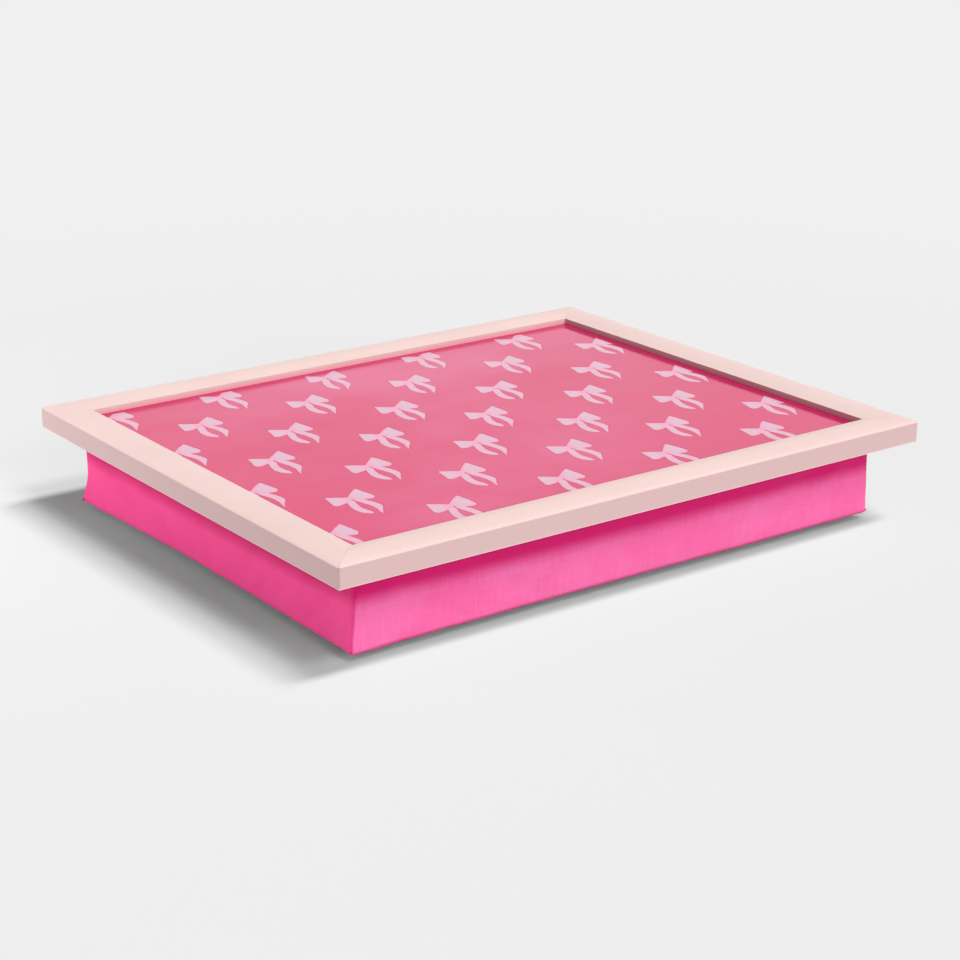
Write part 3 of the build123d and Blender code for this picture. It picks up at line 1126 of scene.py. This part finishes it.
def seam_paths(data):
    """The row of cloth points beside each corner seam, and these rows with the one above the base seam."""
    shell = bmesh.new()
    shell.from_mesh(data)
    shell.normal_update()
    flat = shell.verts.layers.float_vector["flat"]
    corners = {(x, y): [] for x in (-1, 1) for y in (-1, 1)}
    hem = []
    for vertex in shell.verts:
        spot = vertex[flat]
        if spot.z > HEM_LEVEL:
            continue
        to_end, to_side = WALL_HALF_LENGTH - abs(spot.x), WALL_HALF_WIDTH - abs(spot.y)
        place_out = vertex.co - vertex.normal * (STITCH_WIDTH * 0.15)
        if to_end < FINE_CELL / 4 and abs(to_side - FINE_CELL) < FINE_CELL / 4:
            corners[corner_of(spot.x, spot.y)].append((spot.z, place_out))
        if min(to_end, to_side) < FINE_CELL / 4 and abs(spot.z - UPRIGHT_CELL / 2) < UPRIGHT_CELL / 8:
            hem.append((math.atan2(spot.y / WALL_HALF_WIDTH, spot.x / WALL_HALF_LENGTH), place_out))
    shell.free()
    uprights = [in_order(row) for row in corners.values()]
    ring = in_order(hem)
    return uprights, uprights + [ring + ring[:1]]


def along_path(path, pitch):
    """Points at an even pitch along a path, each with the path's direction there."""
    walked = pitch / 2
    for first, second in zip(path, path[1:]):
        run = second - first
        while walked <= run.length:
            yield first + run * (walked / run.length), run.normalized()
            walked += pitch
        walked -= run.length


def sewing_thread():
    """Deep pink twisted sewing thread."""
    material, tree, here = new_material("sewing_thread")
    twist = speckle(tree, here, 2600.0, detail=1.0)
    tone = tint(tree, twist, THREAD_DARK, THREAD_PALE)
    return finished(material, {"Base Color": tone, "Roughness": 0.5})


def place_in_turn(spot):
    """A number that grows from one end of a stitch to the other, and round it at each height."""
    return spot.z / STITCH_LENGTH * 100 + math.atan2(spot.y, spot.x)


def stitch_mesh():
    """One stitch, lying along Z round the origin, with its points and faces in the same order every time."""
    stitch = bmesh.new()
    size = Vector((STITCH_WIDTH / 2, STITCH_WIDTH / 2, STITCH_LENGTH / 2))
    stretch = Matrix.Diagonal(size).to_4x4()
    bmesh.ops.create_uvsphere(stitch, u_segments=6, v_segments=4, radius=1, matrix=stretch)
    stitch.verts.sort(key=lambda vertex: place_in_turn(vertex.co))
    stitch.faces.sort(key=lambda face: place_in_turn(face.calc_center_median()))
    mesh = bpy.data.meshes.new("stitch")
    stitch.to_mesh(mesh)
    stitch.free()
    return mesh


def sew_stitches(data):
    """Short stitches beside every corner seam and above the base seam, and a knot at each lower corner."""
    corners, paths = seam_paths(data)
    stitches = bmesh.new()
    single = stitch_mesh()
    for path in paths:
        size = CORNER_STITCH_SIZE if path in corners else HEM_STITCH_SIZE
        for spot, along in along_path(path, STITCH_PITCH):
            placing = Matrix.Translation(spot) @ along.to_track_quat("Z", "Y").to_matrix().to_4x4()
            placing @= Matrix.Scale(size, 4)
            single.transform(placing)
            stitches.from_mesh(single)
            single.transform(placing.inverted())
    for path in corners:
        knot = Matrix.Translation(path[1])
        bmesh.ops.create_icosphere(stitches, subdivisions=2, radius=KNOT_WIDTH / 2, matrix=knot)
    piece = piece_from("seam_stitches", stitches, smooth=True)
    dress(piece, sewing_thread())
    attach(piece, BODY)


# Cushion cover: fabric

THREAD_PITCH = 0.6 * MM
# Heights between which the walls darken into painted shade, under the frame's overhang.
FRAME_SHADE_LOW = 29 * MM
FRAME_SHADE_HIGH = 41 * MM
FABRIC_PINK = pigment(255, 76, 153)
# A paler pink for the long walls: a painted highlight, for the front wall that the lamps light most.
FABRIC_PAINTED_LIT = pigment(255, 121, 184)
FABRIC_DEEP = pigment(250, 36, 126)
FABRIC_PAINTED_SHADE = pigment(212, 18, 106)
FABRIC_SEAM_SHADE = pigment(236, 30, 112)
FABRIC_BOUNCE = pigment(168, 172, 171)
BASE_BOUNCE = pigment(228, 232, 231)
FABRIC_GLOW = pigment(255, 220, 236)
CLOUD_SHARE = 0.2
YARN_SHARE = 0.26
SEAM_SHADE_SHARE = 0.45


def woven_fabric(name, exposed, bounce):
    """Plain-woven cotton: fine threads, uneven yarns, a soft sheen, and painted shade high on the walls,
    under the frame.
    """
    material, tree, here = new_material(name)
    cloth = place(tree, "ShaderNodeUVMap", uv_map="cloth").outputs["UV"]
    warp, weft = (
        compute(tree, "SINE", times(tree, along, math.tau / THREAD_PITCH))
        for along in parts_of(tree, cloth)[:2]
    )
    weave = times(tree, warp, weft)
    slub_warp = speckle(tree, cloth, 1300.0, detail=3.0, stretch=(1.0, 0.04, 1.0))
    slub_weft = speckle(tree, cloth, 1300.0, detail=3.0, stretch=(0.04, 1.0, 1.0))
    yarn = compute(tree, "MULTIPLY_ADD", slub_warp, 0.55, times(tree, slub_weft, 0.45))
    cloud = use_group(tree, MOTTLE, Vector=here, Scale=18.0)["Value"]
    tone = tint(tree, ramp(tree, yarn, 0.36, 0.64, 0.0, YARN_SHARE), exposed, FABRIC_DEEP)
    tone = tint(tree, ramp(tree, cloud, 0.0, 1.0, 0.0, CLOUD_SHARE), tone, FABRIC_DEEP)
    # Painted shade under the frame's overhang.
    frame_shade = ramp(tree, parts_of(tree, here)[2], FRAME_SHADE_LOW, FRAME_SHADE_HIGH)
    tone = tint(tree, frame_shade, tone, FABRIC_PAINTED_SHADE)
    seam = place(tree, "ShaderNodeAttribute", attribute_name="seam").outputs["Fac"]
    # Painted shade along every seam, in the fold that the seam draws in.
    tone = tint(tree, ramp(tree, seam, 0.5, 1.0, 0.0, SEAM_SHADE_SHARE), tone, FABRIC_SEAM_SHADE)
    bounced = place(tree, "ShaderNodeLightPath").outputs["Is Diffuse Ray"]
    relief = compute(tree, "MULTIPLY_ADD", weave, 0.25, yarn)
    looks = {
        "Base Color": tint(tree, bounced, tone, bounce),
        "Roughness": 0.6,
        "Specular IOR Level": 0.1,
        "Sheen Weight": 0.1,
        "Sheen Roughness": 0.6,
        "Sheen Tint": FABRIC_GLOW,
        "Normal": bump(tree, relief, 0.16 * MM, 0.7),
    }
    return finished(material, looks)


# Cushion cover: its five panels


def make_cover():
    """The five sewn panels of the cushion's cover, and the stitches beside their seams."""
    cover = sewn_cover()
    swell(cover)
    data = applied(cover, levels=1)
    bpy.data.objects.remove(cover)
    draw_seams(data)
    short_fabric = woven_fabric("woven_cotton", FABRIC_PINK, FABRIC_BOUNCE)
    # The front and back walls take a paler copy of the cotton, painted as if brightly lit.
    long_fabric = woven_fabric("woven_cotton_painted_lit", FABRIC_PAINTED_LIT, FABRIC_BOUNCE)
    base_fabric = woven_fabric("woven_cotton_base", FABRIC_PINK, BASE_BOUNCE)
    fabrics = (long_fabric, long_fabric, short_fabric, short_fabric, base_fabric)
    for number, side in enumerate(PANELS):
        node = "cover_base" if number == BASE else "cover_wall_" + side
        piece = panel_piece(data, number, "cover_panel_" + side)
        dress(piece, fabrics[number])
        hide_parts(node)
    sew_stitches(data)


make_cover()

# Bead bag and its filling

LINER_THICKNESS = 0.4 * MM
LINER_DARK = pigment(214, 211, 202)
LINER_PALE = pigment(240, 238, 232)
BAG_DENT = 0.3 * MM
BAG_DENT_SCALE = 60.0
BEAD_PITCH = 3.5 * MM
BEAD_WHITE = pigment(244, 244, 242)
# Grey in the gaps between the beads: painted shade.
BEAD_GAP_SHADE = pigment(196, 197, 198)
BEAD_DENT = 0.4 * MM
BEAD_DENT_SCALE = 120.0


def spread_over(block, low, high):
    """Scales a block's points so that it fills the box from low to high."""
    for axis in range(3):
        places = [vertex.co[axis] for vertex in block.verts]
        least, most = min(places), max(places)
        reach = high[axis] - low[axis]
        for vertex in block.verts:
            vertex.co[axis] = low[axis] + (vertex.co[axis] - least) / (most - least) * reach


def stuffed_block(name, node, dent_depth, dent_scale):
    """A closed block of the cushion's form that fills a solid's box, dented a little by what is in it."""
    block = cut_block()
    for vertex in block.verts:
        vertex.co = sewn_place(vertex.co, seam_distance(vertex.co) < FINE_CELL / 2)
    spread_over(block, *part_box(node))
    block.normal_update()
    for vertex in block.verts:
        dent = (0.5 + 0.5 * noise.noise(vertex.co * dent_scale)) * dent_depth
        vertex.co -= vertex.normal * dent
    return piece_from(name, block, smooth=True)


def liner_cloth():
    """Thin unbleached cotton, with its threads and slubs."""
    material, tree, here = new_material("thin_cotton_liner")
    warp = speckle(tree, here, 1500.0, detail=2.0, stretch=(1.0, 0.05, 1.0))
    weft = speckle(tree, here, 1500.0, detail=2.0, stretch=(0.05, 1.0, 1.0))
    yarn = times(tree, compute(tree, "ADD", warp, weft), 0.5)
    looks = {
        "Base Color": tint(tree, yarn, LINER_DARK, LINER_PALE),
        "Roughness": 0.85,
        "Normal": bump(tree, yarn, 0.1 * MM, 0.5),
    }
    return finished(material, looks)


def foam_beads():
    """Small round white beads, packed together."""
    material, tree, here = new_material("foam_beads")
    cells = place(tree, "ShaderNodeTexVoronoi")
    tree.links.new(here, cells.inputs["Vector"])
    cells.inputs["Scale"].default_value = 1 / BEAD_PITCH
    # Painted shade in the gaps between the beads.
    gap = ramp(tree, cells.outputs["Distance"], 0.2, 0.7)
    looks = {
        "Base Color": tint(tree, gap, BEAD_WHITE, BEAD_GAP_SHADE),
        "Roughness": 0.6,
        "Normal": bump(tree, compute(tree, "SUBTRACT", 1.0, gap), 1.0 * MM, 0.8),
    }
    return finished(material, looks)


def fill_cushion():
    """The inner bag, as thin cloth, and the mass of loose beads that it holds."""
    bag = stuffed_block("inner_bag", "bead_bag", BAG_DENT, BAG_DENT_SCALE)
    wall = bag.modifiers.new("liner_thickness", "SOLIDIFY")
    wall.thickness = LINER_THICKNESS
    wall.offset = -1.0
    set_mesh(bag, applied(bag))
    beads = stuffed_block("loose_beads", "bead_filling", BEAD_DENT, BEAD_DENT_SCALE)
    for piece, node, slot, material in (
        (bag, "bead_bag", "bag_liner", liner_cloth()),
        (beads, "bead_filling", "bead_fill", foam_beads()),
    ):
        dress(piece, material)
        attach(piece, BODY)
        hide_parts(node)


fill_cushion()

visual_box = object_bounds()
[[list(corner) for corner in box] for box in (cad_box, visual_box)]
